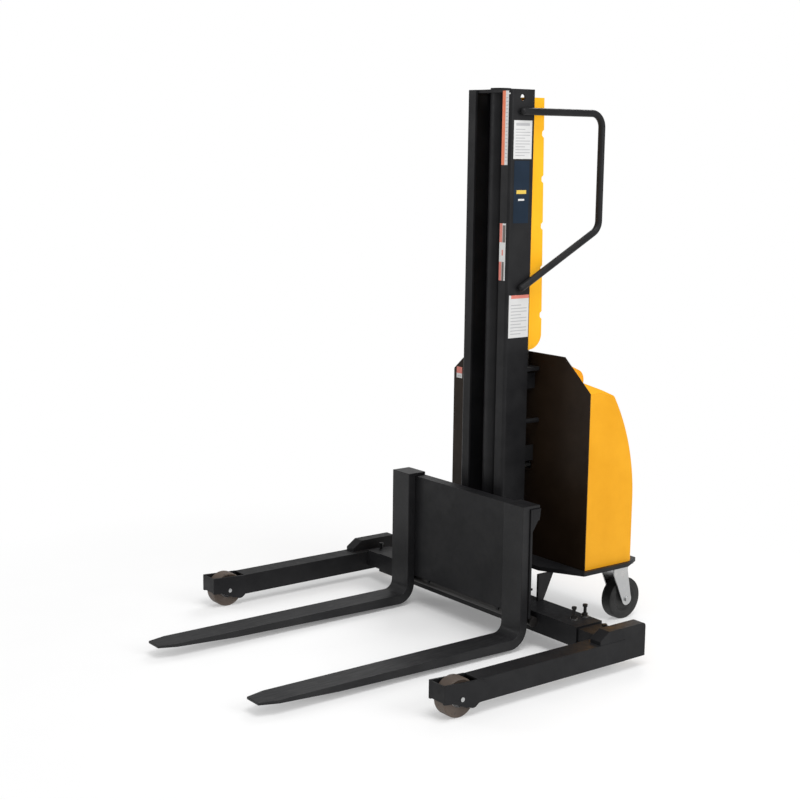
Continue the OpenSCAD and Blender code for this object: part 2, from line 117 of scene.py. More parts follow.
class Shader:
    """A procedural material being put together, with every pattern on Object coordinates."""

    def __init__(self, name: str) -> None:
        """Starts a material with one surface shader.

        Args:
            name: Material name.
        """
        self.material = bpy.data.materials.new(name)
        self.material.use_nodes = True
        self.tree = self.material.node_tree
        self.surface = self.tree.nodes["Principled BSDF"]
        self.coords = self.tree.nodes.new("ShaderNodeTexCoord").outputs["Object"]

    def noise(self, scale: float, detail: float = 4.0, stretch: Point = (1, 1, 1)) -> Socket:
        """Noise between 0 and 1.

        Args:
            scale: Features per metre.
            detail: Number of octaves.
            stretch: Scale of the coordinates along each axis.

        Returns:
            The noise value socket.
        """
        mapping = self.tree.nodes.new("ShaderNodeMapping")
        mapping.inputs["Scale"].default_value = stretch
        self.tree.links.new(self.coords, mapping.inputs["Vector"])
        node = self.tree.nodes.new("ShaderNodeTexNoise")
        node.inputs["Scale"].default_value = scale
        node.inputs["Detail"].default_value = detail
        self.tree.links.new(mapping.outputs["Vector"], node.inputs["Vector"])
        return node.outputs["Fac"]

    def level(self, value: Socket, start: float, end: float, low: float, high: float) -> Socket:
        """Maps a value from one range onto another, clamped.

        Args:
            value: Socket to map.
            start: Start of its range.
            end: End of its range.
            low: Result at the start.
            high: Result at the end.

        Returns:
            The mapped socket.
        """
        node = self.tree.nodes.new("ShaderNodeMapRange")
        for name, number in zip(("From Min", "From Max", "To Min", "To Max"), (start, end, low, high)):
            node.inputs[name].default_value = number
        self.tree.links.new(value, node.inputs["Value"])
        return node.outputs["Result"]

    def times(self, one: Socket, other: Socket) -> Socket:
        """Multiplies two sockets.

        Args:
            one: First factor.
            other: Second factor.

        Returns:
            The product socket.
        """
        node = self.tree.nodes.new("ShaderNodeMath")
        node.operation = "MULTIPLY"
        self.tree.links.new(one, node.inputs[0])
        self.tree.links.new(other, node.inputs[1])
        return node.outputs[0]

    def ramp(self, value: Socket, low: Colour, high: Colour, start: float, end: float) -> Socket:
        """Runs from one colour to another.

        Args:
            value: Socket that drives the colour.
            low: Colour at the start.
            high: Colour at the end.
            start: Value where it starts.
            end: Value where it ends.

        Returns:
            The colour socket.
        """
        node = self.tree.nodes.new("ShaderNodeValToRGB")
        first, last = node.color_ramp.elements
        first.position, last.position = start, end
        first.color, last.color = (*low, 1), (*high, 1)
        self.tree.links.new(value, node.inputs["Fac"])
        return node.outputs["Color"]

    def blend(self, mask: Socket, low: Socket, high: Socket) -> Socket:
        """Mixes two colours by a mask.

        Args:
            mask: Share of the second colour.
            low: First colour.
            high: Second colour.

        Returns:
            The mixed colour socket.
        """
        node = self.tree.nodes.new("ShaderNodeMix")
        node.data_type = "RGBA"
        self.tree.links.new(mask, node.inputs[0])
        self.tree.links.new(low, node.inputs[6])
        self.tree.links.new(high, node.inputs[7])
        return node.outputs[2]

    def attribute(self, name: str) -> Socket:
        """Reads a mesh attribute.

        Args:
            name: Attribute name.

        Returns:
            The value socket.
        """
        node = self.tree.nodes.new("ShaderNodeAttribute")
        node.attribute_name = name
        return node.outputs["Fac"]

    def bump(self, height: Socket, strength: float, distance: float) -> None:
        """Adds surface relief.

        Args:
            height: Height socket.
            strength: Strength of the relief.
            distance: Its depth in metres.
        """
        node = self.tree.nodes.new("ShaderNodeBump")
        node.inputs["Strength"].default_value = strength
        node.inputs["Distance"].default_value = distance
        self.tree.links.new(height, node.inputs["Height"])
        self.tree.links.new(node.outputs["Normal"], self.surface.inputs["Normal"])

    def drive(self, name: str, socket: Socket) -> None:
        """Feeds a surface input from a socket.

        Args:
            name: Input name.
            socket: Socket to feed it from.
        """
        self.tree.links.new(socket, self.surface.inputs[name])

    def hold(self, name: str, number: float) -> None:
        """Sets a surface input to a constant.

        Args:
            name: Input name.
            number: Its value.
        """
        self.surface.inputs[name].default_value = number

    def fade_to_white(self, near: float, far: float) -> None:
        """Turns the surface plain glowing white away from the origin.

        Args:
            near: Distance in metres where it starts.
            far: Distance where it is all white.
        """
        reach = self.tree.nodes.new("ShaderNodeVectorMath")
        reach.operation = "LENGTH"
        self.tree.links.new(self.coords, reach.inputs[0])
        white = self.tree.nodes.new("ShaderNodeEmission")
        white.inputs["Color"].default_value = (1, 1, 1, 1)
        mix = self.tree.nodes.new("ShaderNodeMixShader")
        self.tree.links.new(self.level(reach.outputs["Value"], near, far, 0.0, 1.0), mix.inputs[0])
        self.tree.links.new(self.surface.outputs[0], mix.inputs[1])
        self.tree.links.new(white.outputs[0], mix.inputs[2])
        self.tree.links.new(mix.outputs[0], self.tree.nodes["Material Output"].inputs["Surface"])


@dataclass(frozen=True)
class Finish:
    """A surface finish with two tones, uneven roughness and fine relief.

    Attributes:
        name: Material name.
        slot: Record slot the finish stands for.
        base: Main colour.
        tone: Second colour that drifts through the first.
        rough: Roughness range.
        metal: Metallic value.
        specular: Specular level.
        coat: Clear coat weight.
        grain: Features per metre of the fine relief.
        relief: Strength of the fine relief.
        streak: Stretch of the coordinates, for brushed or worn directions.
        scuff: Colour of the scuffs, if it has them.
        scuffed: Noise value above which scuffs show; lower shows more.
        by_wear: Whether scuffs follow the mesh's wear attribute.
    """

    name: str
    slot: Slot
    base: Colour
    tone: Colour
    rough: tuple[float, float] = (0.35, 0.5)
    metal: float = 0.0
    specular: float = 0.5
    coat: float = 0.0
    grain: float = 700.0
    relief: float = 0.08
    streak: Point = (1, 1, 1)
    scuff: Optional[Colour] = None
    scuffed: float = 0.62
    by_wear: bool = False

    def material(self) -> bpy.types.Material:
        """Builds the material on first use and returns the same one afterwards."""
        found = bpy.data.materials.get(self.name)
        if found:
            return found
        shader = Shader(self.name)
        drift = shader.noise(9.0, 5.0)
        colour = shader.ramp(drift, self.base, self.tone, 0.35, 0.68)
        rough = shader.level(shader.noise(38.0, 6.0, self.streak), 0.3, 0.7, *self.rough)
        if self.scuff:
            marks = shader.noise(60.0, 9.0, self.streak)
            mask = shader.level(marks, self.scuffed, self.scuffed + 0.09, 0.0, 1.0)
            if self.by_wear:
                mask = shader.times(mask, shader.attribute("wear"))
            worn = shader.ramp(marks, self.scuff, tuple(c * 0.7 for c in self.scuff), 0.3, 0.8)
            colour = shader.blend(mask, colour, worn)
        shader.drive("Base Color", colour)
        shader.drive("Roughness", rough)
        shader.hold("Metallic", self.metal)
        shader.hold("Specular IOR Level", self.specular)
        shader.hold("Coat Weight", self.coat)
        shader.bump(shader.noise(self.grain, 3.0, self.streak), self.relief, 0.0004)
        return shader.material


BLACK = Finish("powder_coat", Slot.FRAME, (0.010, 0.010, 0.011), (0.016, 0.016, 0.017), (0.34, 0.52),
               specular=0.14, scuff=(0.04, 0.04, 0.04), scuffed=0.74)
WARM = Finish("warm_black", Slot.FRAME, (0.015, 0.0085, 0.0045), (0.021, 0.0125, 0.007), (0.40, 0.55),
              specular=0.14)
FORK = Finish("fork_paint", Slot.FORK, (0.011, 0.011, 0.012), (0.018, 0.018, 0.019), (0.34, 0.50),
              specular=0.20, relief=0.04, streak=(3.0, 0.35, 3.0), scuff=(0.05, 0.05, 0.05), scuffed=0.56,
              by_wear=True)
YELLOW = Finish("moulded_yellow", Slot.COVER, (0.78, 0.35, 0.010), (0.84, 0.39, 0.015), (0.34, 0.46),
                specular=0.12, grain=950.0, relief=0.05)
# Lighter copy of the cover's moulded yellow, used on the guard: painted light standing in for the brighter
# light the guard catches.
YELLOW_PAINTED_LIGHT = Finish("guard_yellow_painted_light", Slot.COVER, (0.90, 0.45, 0.014), (0.95, 0.49, 0.020), (0.34, 0.46),
                specular=0.12, grain=950.0, relief=0.05)
ZINC = Finish("zinc_plate", Slot.ZINC, (0.44, 0.45, 0.46), (0.52, 0.52, 0.51), (0.24, 0.42), metal=1.0,
              grain=500.0, relief=0.1, scuff=(0.36, 0.34, 0.30), scuffed=0.7)
STEEL = Finish("machined_steel", Slot.STEEL, (0.42, 0.42, 0.43), (0.52, 0.52, 0.52), (0.25, 0.45), metal=1.0,
               streak=(0.4, 5.0, 5.0), scuff=(0.2, 0.15, 0.11), scuffed=0.68)
BAR = Finish("dark_bar", Slot.STEEL, (0.012, 0.011, 0.011), (0.020, 0.018, 0.017), (0.35, 0.55), metal=0.3,
             streak=(0.3, 4.0, 4.0), scuff=(0.07, 0.06, 0.05), scuffed=0.70)
CHROME = Finish("hard_chrome", Slot.CHROME, (0.78, 0.78, 0.79), (0.83, 0.83, 0.84), (0.06, 0.14), metal=1.0,
                streak=(6.0, 6.0, 0.5), relief=0.02)
CHAIN = Finish("oiled_chain", Slot.CHAIN, (0.13, 0.12, 0.11), (0.20, 0.18, 0.16), (0.28, 0.45), metal=0.9,
               grain=1500.0)
LOAD_TREAD = Finish("cast_tread", Slot.LOAD_TREAD, (0.070, 0.050, 0.038), (0.105, 0.077, 0.058), (0.45, 0.65),
                    scuff=(0.035, 0.030, 0.026), scuffed=0.6)
TYRE = Finish("caster_tyre", Slot.CASTER_TREAD, (0.010, 0.010, 0.010), (0.02, 0.02, 0.02), (0.45, 0.65),
              specular=0.3, scuff=(0.07, 0.065, 0.06), scuffed=0.66)
PLASTIC = Finish("black_plastic", Slot.BLACK_PLASTIC, (0.012, 0.012, 0.012), (0.02, 0.02, 0.02), (0.4, 0.55))
CASE = Finish("battery_case", Slot.BATTERY, (0.02, 0.02, 0.023), (0.03, 0.03, 0.034), (0.45, 0.6),
              relief=0.15)
UNIT = Finish("unit_paint", Slot.UNIT, (0.035, 0.037, 0.04), (0.05, 0.052, 0.056), (0.38, 0.5),
              scuff=(0.16, 0.15, 0.14), scuffed=0.7)
RED = Finish("red_plastic", Slot.RED, (0.48, 0.012, 0.012), (0.56, 0.02, 0.018), (0.2, 0.32), coat=0.3)
COLLAR = Finish("yellow_plastic", Slot.YELLOW, (0.78, 0.52, 0.02), (0.84, 0.58, 0.03), (0.3, 0.45))
HOSE = Finish("hose_rubber", Slot.HOSE, (0.010, 0.010, 0.010), (0.018, 0.018, 0.018), (0.5, 0.7), grain=300.0,
              relief=0.2)
FILM = Finish("label_white", Slot.LABEL, (0.60, 0.60, 0.60), (0.66, 0.66, 0.65), (0.3, 0.45), relief=0.03)
INK = Finish("label_ink", Slot.LABEL, (0.38, 0.38, 0.39), (0.44, 0.44, 0.45), (0.35, 0.5), relief=0.03)
INK_RED = Finish("label_red", Slot.LABEL, (0.62, 0.17, 0.13), (0.68, 0.21, 0.16), (0.35, 0.5), relief=0.03)
INK_ORANGE = Finish("label_orange", Slot.LABEL, (0.72, 0.16, 0.06), (0.78, 0.2, 0.09), (0.35, 0.5),
                    relief=0.03)
INK_BLUE = Finish("label_blue", Slot.LABEL, (0.007, 0.016, 0.030), (0.011, 0.022, 0.040), (0.4, 0.5),
                  relief=0.03, specular=0.12)
INK_GREY = Finish("label_grey", Slot.LABEL, (0.10, 0.085, 0.075), (0.15, 0.13, 0.12), (0.35, 0.5),
                  relief=0.03)
INK_GOLD = Finish("label_gold", Slot.LABEL, (0.62, 0.42, 0.05), (0.68, 0.47, 0.07), (0.3, 0.42), relief=0.03)

Ring = tuple[float, float, Finish]


class Rule:
    """A geometry node tree with named sizes that is turned into one plain mesh."""

    def __init__(self, name: str) -> None:
        """Starts an empty tree that takes and gives geometry.

        Args:
            name: Name of the tree and its piece.
        """
        self.name = name
        self.tree = bpy.data.node_groups.new(name, "GeometryNodeTree")
        face = self.tree.interface
        face.new_socket("Geometry", in_out="INPUT", socket_type="NodeSocketGeometry")
        face.new_socket("Geometry", in_out="OUTPUT", socket_type="NodeSocketGeometry")
        self.start = self.tree.nodes.new("NodeGroupInput")
        self.end = self.tree.nodes.new("NodeGroupOutput")
        self.sizes: dict[str, tuple[str, float]] = {}

    @property
    def geometry(self) -> Socket:
        """The geometry that the tree is given."""
        return self.start.outputs["Geometry"]

    def size(self, name: str, value: float, whole: bool = False) -> Socket:
        """Adds a named input.

        Args:
            name: Name shown on the modifier.
            value: Value the piece is built with.
            whole: Whether it is a count.

        Returns:
            The socket that carries the value inside the tree.
        """
        kind = "NodeSocketInt" if whole else "NodeSocketFloat"
        socket = self.tree.interface.new_socket(name, in_out="INPUT", socket_type=kind)
        self.sizes[name] = (socket.identifier, value)
        return self.start.outputs[name]

    def add(self, kind: str, inputs: dict[str, object], out: int | str = 0,
            **settings: object) -> Socket:
        """Adds a node.

        Args:
            kind: Node type without its GeometryNode prefix, or a full type name.
            inputs: Socket name to a value or to another node's socket.
            out: Which output to return.
            **settings: Properties of the node.

        Returns:
            The chosen output socket.
        """
        full = kind if kind.startswith(("ShaderNode", "FunctionNode")) else "GeometryNode" + kind
        node = self.tree.nodes.new(full)
        for key, value in settings.items():
            setattr(node, key, value)
        for key, value in inputs.items():
            socket = node.inputs[key]
            for one in value if isinstance(value, list) else [value]:
                if isinstance(one, Socket):
                    self.tree.links.new(one, socket)
                else:
                    socket.default_value = one
        return node.outputs[out]

    def vector(self, x: object = 0.0, y: object = 0.0, z: object = 0.0) -> Socket:
        """Joins three numbers or sockets.

        Args:
            x: First part.
            y: Second part.
            z: Third part.

        Returns:
            The vector socket.
        """
        return self.add("ShaderNodeCombineXYZ", {"X": x, "Y": y, "Z": z})

    def build(self, geometry: Socket, finish: Finish, points: Iterable[Vector] = (),
              chained: bool = False) -> bpy.types.Object:
        """Evaluates the tree and keeps the result as a plain mesh.

        Args:
            geometry: The tree's last geometry socket.
            finish: Finish of the whole piece.
            points: Vertices handed to the tree.
            chained: Whether an edge joins each vertex to the next.

        Returns:
            The finished object, at the origin.
        """
        real = self.add("RealizeInstances", {"Geometry": geometry})
        dressed = self.add("SetMaterial", {"Geometry": real, "Material": finish.material()})
        self.tree.links.new(dressed, self.end.inputs["Geometry"])
        verts = [tuple(p) for p in points]
        edges = [(i, i + 1) for i in range(len(verts) - 1)] if chained else []
        mesh = bpy.data.meshes.new(self.name)
        mesh.from_pydata(verts, edges, [])
        obj = bpy.data.objects.new(self.name, mesh)
        bpy.context.scene.collection.objects.link(obj)
        modifier = obj.modifiers.new("rule", "NODES")
        modifier.node_group = self.tree
        for identifier, value in self.sizes.values():
            modifier[identifier] = value
        freeze(obj)
        return obj


def freeze(obj: bpy.types.Object) -> None:
    """Turns an object's modifiers into its plain mesh.

    Args:
        obj: The object.
    """
    graph = bpy.context.evaluated_depsgraph_get()
    graph.update()
    mesh = bpy.data.meshes.new_from_object(obj.evaluated_get(graph), depsgraph=graph)
    obj.modifiers.clear()
    obj.data = mesh


def link(name: str, shape: bmesh.types.BMesh) -> bpy.types.Object:
    """Makes an object in the scene from a finished bmesh.

    Args:
        name: Object name.
        shape: The bmesh, freed afterwards.

    Returns:
        The object.
    """
    mesh = bpy.data.meshes.new(name)
    shape.to_mesh(mesh)
    shape.free()
    obj = bpy.data.objects.new(name, mesh)
    bpy.context.scene.collection.objects.link(obj)
    return obj


def polish(obj: bpy.types.Object, width: float, segments: int, angle: float = 32.0) -> None:
    """Rounds an object's edges and evens out its shading.

    Args:
        obj: The object, with no modifiers yet.
        width: Bevel width in metres; 0 leaves the edges as they are.
        segments: Bevel segments.
        angle: Smallest angle in degrees that counts as an edge.
    """
    if width > 0:
        bevel = obj.modifiers.new("edges", "BEVEL")
        bevel.width, bevel.segments = width, segments
        bevel.limit_method, bevel.angle_limit = "ANGLE", math.radians(angle)
        bevel.use_clamp_overlap = True
        freeze(obj)
    shape = bmesh.new()
    shape.from_mesh(obj.data)
    for face in shape.faces:
        face.smooth = True
    for edge in shape.edges:
        edge.smooth = len(edge.link_faces) != 2 or edge.calc_face_angle(0.0) < math.radians(SHARP)
    shape.to_mesh(obj.data)
    shape.free()
    weighted = obj.modifiers.new("shading", "WEIGHTED_NORMAL")
    weighted.keep_sharp = True
    freeze(obj)


def lathe(name: str, rings: list[Ring], centre: Vector, steps: int = 72) -> bpy.types.Object:
    """Turns a closed outline about a line along X.

    Args:
        name: Piece name.
        rings: Radius, offset along X and the finish of the band that follows, all in millimetres.
        centre: Point on the turning line where the offset is zero.
        steps: Facets round the circle.

    Returns:
        The object, with one material per finish used.
    """
    finishes = list(dict.fromkeys(ring[2] for ring in rings))
    shape = bmesh.new()
    loops = []
    for radius, offset, _ in rings:
        loop = []
        for i in range(steps):
            a = 2 * math.pi * i / steps
            turn = Vector((offset * MM, radius * MM * math.cos(a), radius * MM * math.sin(a)))
            loop.append(shape.verts.new(centre + turn))
        loops.append(loop)
    for k, (_, _, finish) in enumerate(rings):
        here, there = loops[k], loops[(k + 1) % len(loops)]
        for i in range(steps):
            j = (i + 1) % steps
            face = shape.faces.new((here[i], here[j], there[j], there[i]))
            face.material_index = finishes.index(finish)
    bmesh.ops.recalc_face_normals(shape, faces=shape.faces)
    obj = link(name, shape)
    for finish in finishes:
        obj.data.materials.append(finish.material())
    return obj


@dataclass
class Assembly:
    """A group of pieces that belong together.

    Attributes:
        title: Name used in the log.
        made: Pieces built so far.
    """

    title: str = "assembly"
    made: list[bpy.types.Object] = field(default_factory=list)

    def build(self) -> None:
        """Builds every piece of the group."""
        raise NotImplementedError

    def place(self, obj: bpy.types.Object, slot: Slot, body: str, *nodes: str) -> bpy.types.Object:
        """Hands a finished piece to the frame.

        Args:
            obj: The finished piece.
            slot: Record slot of its finish; not used.
            body: Body that carries it.
            *nodes: CAD nodes it stands for.

        Returns:
            The same object.
        """
        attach(obj, body)
        if nodes:
            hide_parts(*nodes)
        self.made.append(obj)
        LOG.info("%s: %s on %s, %d faces", self.title, obj.name, body, len(obj.data.polygons))
        return obj

    def skin(self, node: str, finish: Finish, width: float = 1.5, segments: int = 2,
             edit: Optional[Callable[[bmesh.types.BMesh], None]] = None) -> bpy.types.Object:
        """Stands a rounded, dressed copy in for a CAD node.

        Args:
            node: CAD node.
            finish: Finish of the piece.
            width: Edge rounding in millimetres.
            segments: Rounding segments.
            edit: Change made to the merged mesh before rounding.

        Returns:
            The finished piece.
        """
        shape = bmesh.new()
        shape.from_mesh(frame["nodes"][node].data)
        bmesh.ops.remove_doubles(shape, verts=shape.verts, dist=MERGE)
        bmesh.ops.dissolve_limit(shape, angle_limit=math.radians(FLAT), verts=shape.verts,
                                 edges=shape.edges)
        if edit:
            edit(shape)
        obj = link(node + "_skin", shape)
        obj.data.materials.clear()
        obj.data.materials.append(finish.material())
        polish(obj, width * MM, segments)
        return self.place(obj, finish.slot, body_of(node), node)


def body_of(node: str) -> str:
    """Finds the body that a CAD node belongs to.

    Args:
        node: CAD node.

    Returns:
        Name of the body.
    """
    for body, nodes in frame["record"]["behaviour"]["bodies"].items():
        if node in nodes:
            return body
    raise KeyError(node)


def add_wear(obj: bpy.types.Object, rule: Callable[[Vector, Vector], float]) -> None:
    """Paints the wear attribute.

    Args:
        obj: The worn piece.
        rule: Wear for a face's centre and normal.
    """
    wear = obj.data.attributes.new("wear", "FLOAT", "FACE")
    for face in obj.data.polygons:
        wear.data[face.index].value = rule(face.center, face.normal)


def heads(title: str, points: list[Vector], turn: Point, radius: float, height: float, sides: int,
          finish: Finish) -> bpy.types.Object:
    """Bolt or screw heads with a washer under each.

    Args:
        title: Piece name.
        points: Where each head sits.
        turn: Rotation that points +Z along the bolt.
        radius: Head radius in millimetres.
        height: Head height in millimetres.
        sides: Sides of the head.
        finish: Finish of the heads.

    Returns:
        All of the heads as one object.
    """
    rule = Rule(title)
    rad = rule.size("Head Radius", radius * MM)
    tall = rule.size("Head Height", height * MM)
    count = rule.size("Sides", sides, whole=True)
    crown = rule.add("MeshCone", {"Vertices": count, "Radius Top": 0.84 * radius * MM, "Radius Bottom": rad,
                                  "Depth": 0.3 * height * MM})
    crown = rule.add("Transform", {"Geometry": crown, "Translation": rule.vector(z=0.7 * height * MM)})
    drum = rule.add("MeshCylinder", {"Vertices": count, "Radius": rad, "Depth": tall})
    drum = rule.add("Transform", {"Geometry": drum, "Translation": rule.vector(z=0.5 * height * MM),
                                  "Scale": (1.0, 1.0, 0.4)})
    washer = rule.add("MeshCylinder", {"Vertices": 20, "Radius": radius * MM,
                                       "Depth": 0.2 * height * MM})
    washer = rule.add("Transform", {"Geometry": washer, "Translation": rule.vector(z=0.12 * height * MM)})
    head = rule.add("JoinGeometry", {"Geometry": [crown, drum, washer]})
    spread = rule.add("InstanceOnPoints", {"Points": rule.geometry, "Instance": head, "Rotation": turn})
    angle = rule.add("FunctionNodeRandomValue", {2: 0.0, 3: math.pi / 3, "Seed": SEED}, out=1,
                     data_type="FLOAT")
    turned = rule.add("RotateInstances", {"Instances": spread, "Rotation": rule.vector(z=angle),
                                          "Local Space": True})
    return rule.build(turned, finish, points)


def chain_run(title: str, x: float, y: float, z0: float, z1: float) -> bpy.types.Object:
    """A straight run of leaf chain, as plates on pins.

    Args:
        title: Piece name.
        x: Middle of the chain in millimetres.
        y: Depth of the chain in millimetres.
        z0: Lower end in millimetres.
        z1: Upper end in millimetres.

    Returns:
        The run as one object.
    """
    links = max(2, round((z1 - z0) / LINK_PITCH))
    rule = Rule(title)
    pitch = rule.size("Pitch", (z1 - z0) * MM / links)
    count = rule.size("Links", links, whole=True)
    thick = rule.size("Plate Thickness", 1.8 * MM)
    line = rule.add("CurvePrimitiveLine", {"Start": (0.0, 0.0, 0.0), "End": rule.vector(z=thick)})
    oval = rule.add("CurvePrimitiveQuadrilateral", {"Width": 7.6 * MM, "Height": 19.0 * MM})
    oval = rule.add("FilletCurve", {"Curve": oval, "Radius": 3.6 * MM, "Count": 3, "Limit Radius": True},
                    mode="POLY")
    plate = rule.add("CurveToMesh", {"Curve": line, "Profile Curve": oval, "Fill Caps": True})
    plate = rule.add("Transform", {"Geometry": plate, "Rotation": (math.pi / 2, 0.0, math.pi / 2)})
    outer, inner = ([rule.add("Transform", {"Geometry": plate, "Translation": (a * MM, 0.0, 0.0)}) for a in row]
                    for row in ((-7.6, 5.6), (-4.4, -0.9, 2.6)))
    pin = rule.add("MeshCylinder", {"Vertices": 8, "Radius": 1.9 * MM, "Depth": 15.6 * MM})
    pin = rule.add("Transform", {"Geometry": pin, "Rotation": (0.0, math.pi / 2, 0.0)})
    half = rule.add("ShaderNodeMath", {0: pitch, 1: 0.5}, operation="MULTIPLY")
    double = rule.add("ShaderNodeMath", {0: pitch, 1: 2.0}, operation="MULTIPLY")
    short = rule.add("ShaderNodeMath", {0: count, 1: 2.0}, operation="DIVIDE")
    parts = []
    for pieces, lift, step, amount in ((outer + [pin], half, double, short), (inner, half, double, short)):
        shift = lift
        if pieces is inner:
            shift = rule.add("ShaderNodeMath", {0: pitch, 1: 1.5}, operation="MULTIPLY")
        dots = rule.add("MeshLine", {"Count": amount, "Start Location": rule.vector(z=shift),
                                     "Offset": rule.vector(z=step)}, mode="OFFSET")
        group = rule.add("JoinGeometry", {"Geometry": pieces})
        parts.append(rule.add("InstanceOnPoints", {"Points": dots, "Instance": group}))
    whole = rule.add("JoinGeometry", {"Geometry": parts})
    whole = rule.add("Transform", {"Geometry": whole, "Translation": tuple(at(x, y, z0))})
    return rule.build(whole, CHAIN)


@dataclass
class Mast(Assembly):
    """Uprights, middle column and the welded base they stand on."""

    title: str = "mast"
    washer_drop: float = 0.046
    washer_band: tuple[float, float] = (-0.0005, 0.0032)

    def build(self) -> None:
        """Builds the mast and the crossbeam."""
        for side in ("left", "right"):
            self.skin(f"mast_upright_{side}", BLACK, 1.4)
        self.skin("mast_spine", BLACK, 1.0)
        self.skin("mast_top_tie", BLACK, 1.2)
        self.skin("crossbeam", BLACK, 2.2, 3)
        self.skin("base_plates", BLACK, 1.2)
        self.skin("platform", BLACK, 1.6)
        bolts = self.skin("clamp_bolts", BAR, 0.5)
        bolts.data.materials.append(ZINC.material())
        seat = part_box("clamp_bolts")[1][2] - self.washer_drop
        low, high = (seat + edge for edge in self.washer_band)
        for face in bolts.data.polygons:
            if low < face.center.z < high:
                face.material_index = 1


@dataclass
class Legs(Assembly):
    """Telescoping legs with their wheel brackets and load wheels."""

    title: str = "legs"

    def build(self) -> None:
        """Builds both legs."""
        for side in ("left", "right"):
            self.skin(f"leg_beam_{side}", BLACK, 2.4, 3)
            self.skin(f"leg_tube_{side}", BLACK, 1.8)
            self.skin(f"wheel_bracket_{side}", BLACK, 1.4)
            self.skin(f"load_axle_{side}", ZINC, 1.0)
            self.wheel(side)

    def wheel(self, side: str) -> None:
        """Builds one load wheel with its steel hub and cast tread.

        Args:
            side: Left or right.
        """
        low, high = (Vector(p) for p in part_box(f"load_wheel_{side}"))
        centre = (low + high) / 2
        r = (high.z - low.z) / 2 / MM
        half = (high.x - low.x) / 2 / MM
        rings = [(8.3, -half + 4, STEEL), (24, -half + 3, STEEL), (30, -half, STEEL)]
        rings += [(radius, offset, LOAD_TREAD) for radius, offset in (
            (32, -half + 3.5), (r - 13, -half + 3), (r - 5, -half), (r - 1.2, -half + 1.5), (r, -half + 5),
            (r, half - 5), (r - 1.2, half - 1.5), (r - 5, half), (r - 13, half - 3))]
        rings += [(32, half - 3.5, STEEL), (30, half, STEEL), (24, half - 3, STEEL), (8.3, half - 4, STEEL)]
        obj = lathe(f"load_wheel_{side}_tread", rings, centre)
        polish(obj, 0.0, 1)
        node = f"load_wheel_{side}"
        self.place(obj, Slot.LOAD_TREAD, body_of(node), node)


@dataclass
class Carriage(Assembly):
    """Fork carriage with its rollers and the two forks."""

    title: str = "carriage"
    scuff_height: float = 0.40
    blade_reach: float = 1.2
    heel_wear: float = 0.25
    tip_wear: float = 0.75
    shank_wear: float = 0.3
    side_wear: float = 0.1

    def build(self) -> None:
        """Builds the carriage and forks."""
        self.skin("carriage_plate", BLACK, 1.2)
        self.skin("carriage_frame", BLACK, 1.2)
        self.skin("lower_bar", BAR, 1.0)
        for height in ("upper", "lower"):
            self.skin(f"rollers_{height}", STEEL, 0.6)
        for side in ("left", "right"):
            fork = self.skin(f"fork_{side}", FORK, 2.0, 3)
            add_wear(fork, self.wear)

    def wear(self, centre: Vector, normal: Vector) -> float:
        """How much a load has rubbed a fork face.

        Args:
            centre: Middle of the face.
            normal: Way the face looks.

        Returns:
            Wear from 0 to 1.
        """
        if normal.z > 0.9:
            reach = (MAST_Y - centre.y) / self.blade_reach
            return self.heel_wear + self.tip_wear * min(1.0, max(0.0, reach)) ** 2
        if normal.y < -0.9 and centre.z > self.scuff_height:
            return self.shank_wear
        return self.side_wear


@dataclass
class PowerUnit(Assembly):
    """Back plate, moulded cover, console and what stands under them."""

    title: str = "power unit"
    cover_round: float = 9.0

    def build(self) -> None:
        """Builds the power unit."""
        self.skin("back_plate", WARM, 1.0)
        self.skin("panel_brackets", BLACK, 1.0)
        self.skin("power_cover", YELLOW, 0.8, 2, self.round_cover)
        self.skin("console", YELLOW, 4.0, 4)
        self.skin("batteries", CASE, 3.0, 3)
        self.skin("pump_motor", UNIT, 2.0)
        self.skin("hydraulic_tank", UNIT, 2.0)
        self.skin("valve_block", STEEL, 1.0)
        self.skin("charger", UNIT, 1.5)
        self.skin("power_shelf", UNIT, 1.0)
        self.skin("hydraulic_hose", HOSE, 0.0)

    def round_cover(self, shape: bmesh.types.BMesh) -> None:
        """Gives the cover's two long outer edges a moulded radius.

        Args:
            shape: The cover's mesh.
        """
        side = max(abs(v.co.x) for v in shape.verts)
        edges = []
        for edge in shape.edges:
            both = all(abs(abs(v.co.x) - side) < 2e-5 and v.co.y > MAST_Y + 0.19 for v in edge.verts)
            if both and len(edge.link_faces) == 2 and edge.calc_face_angle(0.0) > math.radians(50):
                edges.append(edge)
        bmesh.ops.bevel(shape, geom=edges, offset=self.cover_round * MM, segments=5, profile=0.5,
                        affect="EDGES", clamp_overlap=True)


@dataclass
class Controls(Assembly):
    """Controls on the console."""

    title: str = "controls"

    def build(self) -> None:
        """Builds the gauge, key switch, stop button and lever."""
        self.skin("battery_gauge", PLASTIC, 0.8)
        self.skin("key_barrel", ZINC, 0.6)
        self.skin("key", STEEL, 0.5)
        self.skin("stop_collar", COLLAR, 0.8)
        self.skin("stop_button", RED, 1.0, 3)
        self.skin("lever_boot", HOSE, 0.6)
        self.skin("control_lever", PLASTIC, 0.0)


